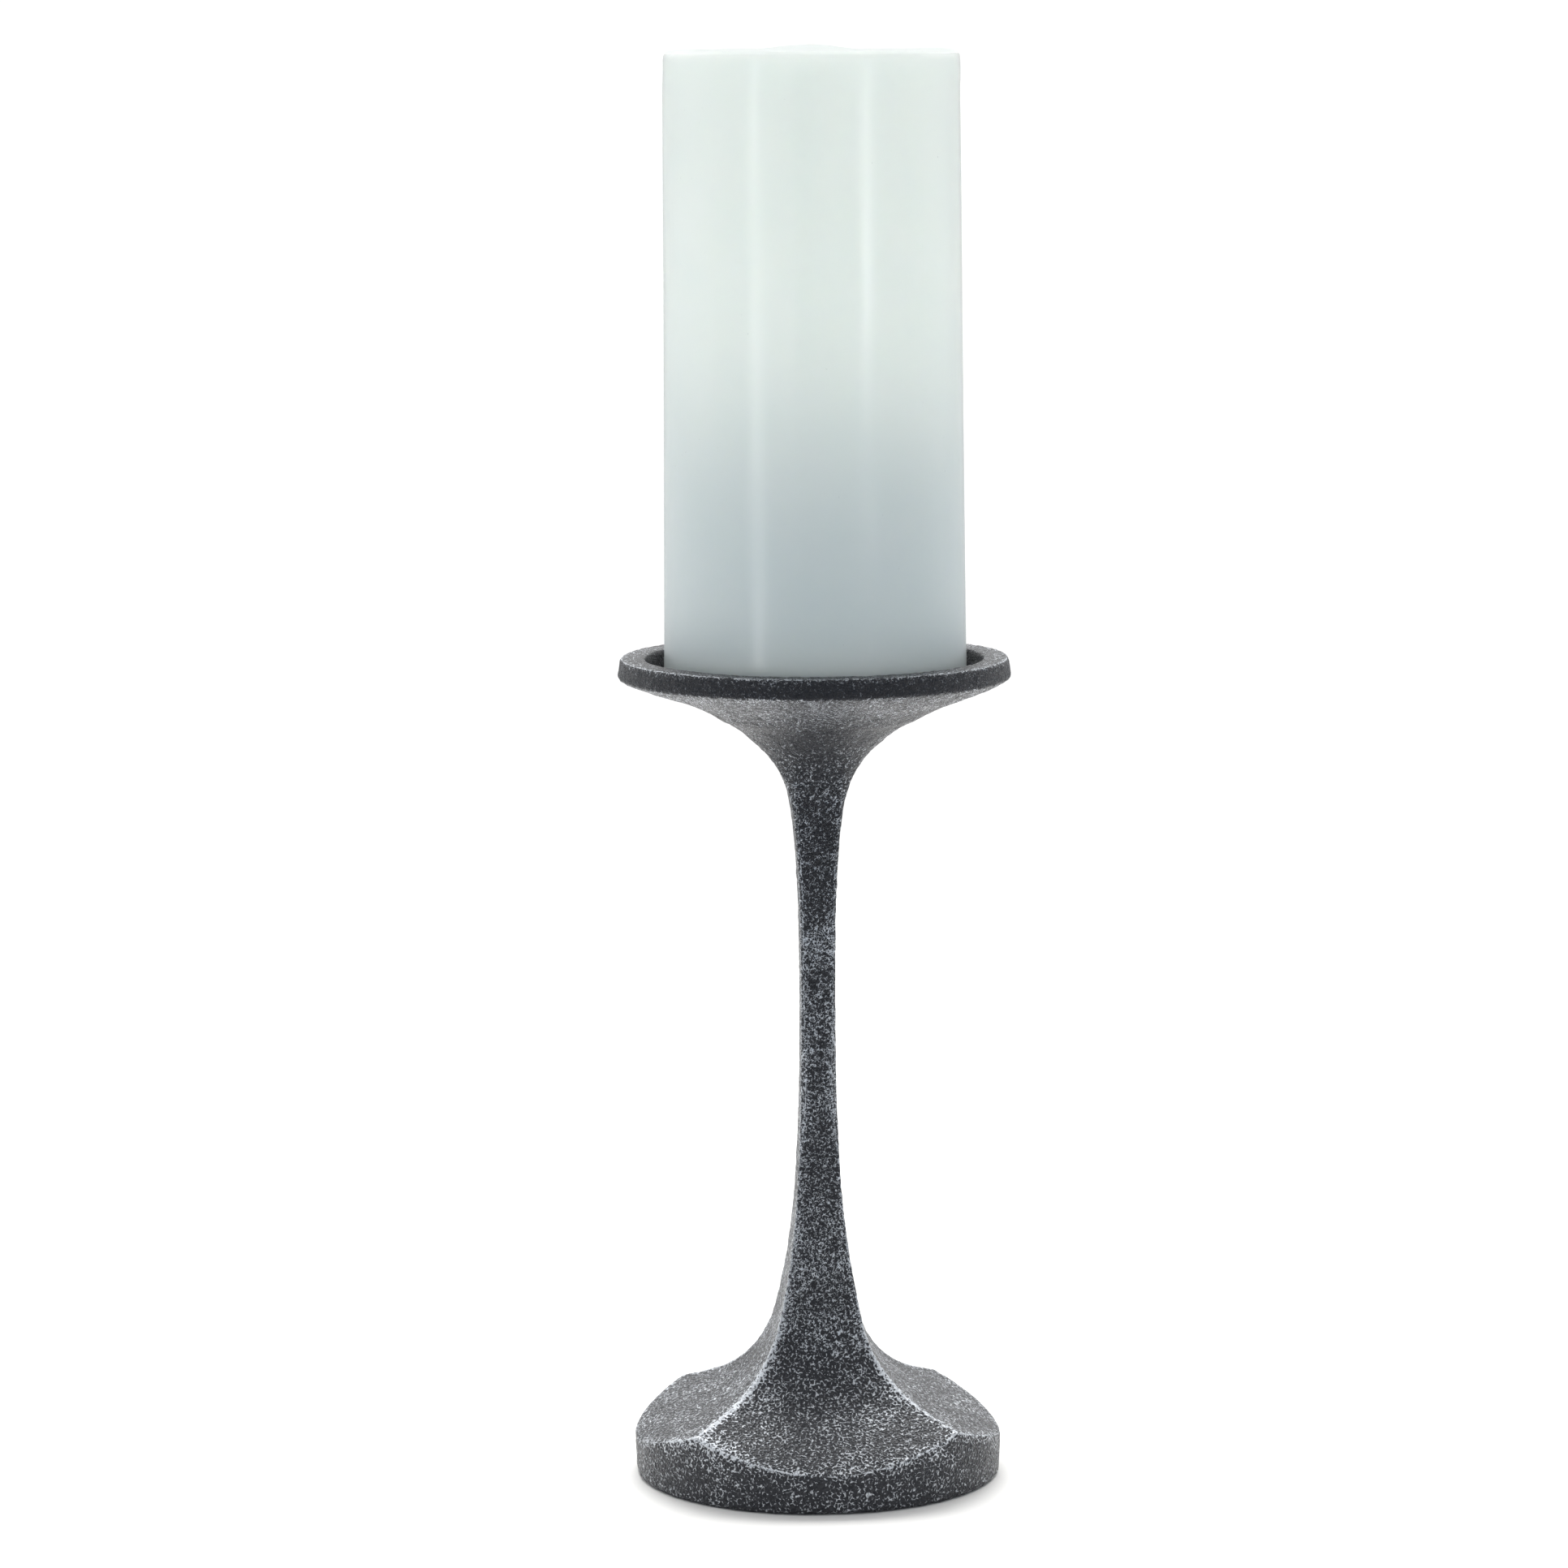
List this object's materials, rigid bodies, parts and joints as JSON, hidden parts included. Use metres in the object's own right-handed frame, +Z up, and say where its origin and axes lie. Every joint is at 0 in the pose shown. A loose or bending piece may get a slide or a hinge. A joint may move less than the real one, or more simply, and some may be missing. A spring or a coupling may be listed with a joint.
{
  "type": "pillar candle holder",
  "caption": "Tall footed pillar candle holder: faceted round base, slim square stem flaring into a shallow rimmed dish with a spike, carrying a lift-off pillar candle.",
  "frame": {"origin": "centre of the felt face that the holder stands on", "axes": "+Z up along the stem; -Y faces the front flat of the base and +X the flat to its right"},
  "size_m": [0.096, 0.096, 0.3513],
  "materials": {
    "antiqued_casting": "sand-cast skin, blackened and rubbed back to bright metal on its high points and edges",
    "zinc_steel": "turned and zinc plated, satin",
    "felt": "pressed wool felt, matte",
    "wax": "smooth moulded paraffin wax, satin, a little translucent",
    "cotton": "braided cotton, waxed"
  },
  "bodies": {
    "holder": {"pedestal": "antiqued_casting", "dish": "antiqued_casting", "spike": "zinc_steel", "plain_washer": "zinc_steel", "spring_washer": "zinc_steel", "base_felt": "felt"},
    "candle": {"candle_wax": "wax", "wick": "cotton"}
  },
  "joints": [
    {"name": "candle_lift", "type": "slide", "parent": "holder", "child": "candle", "axis": [0, 0, 1], "range_m": [0, 0.06]}
  ]
}
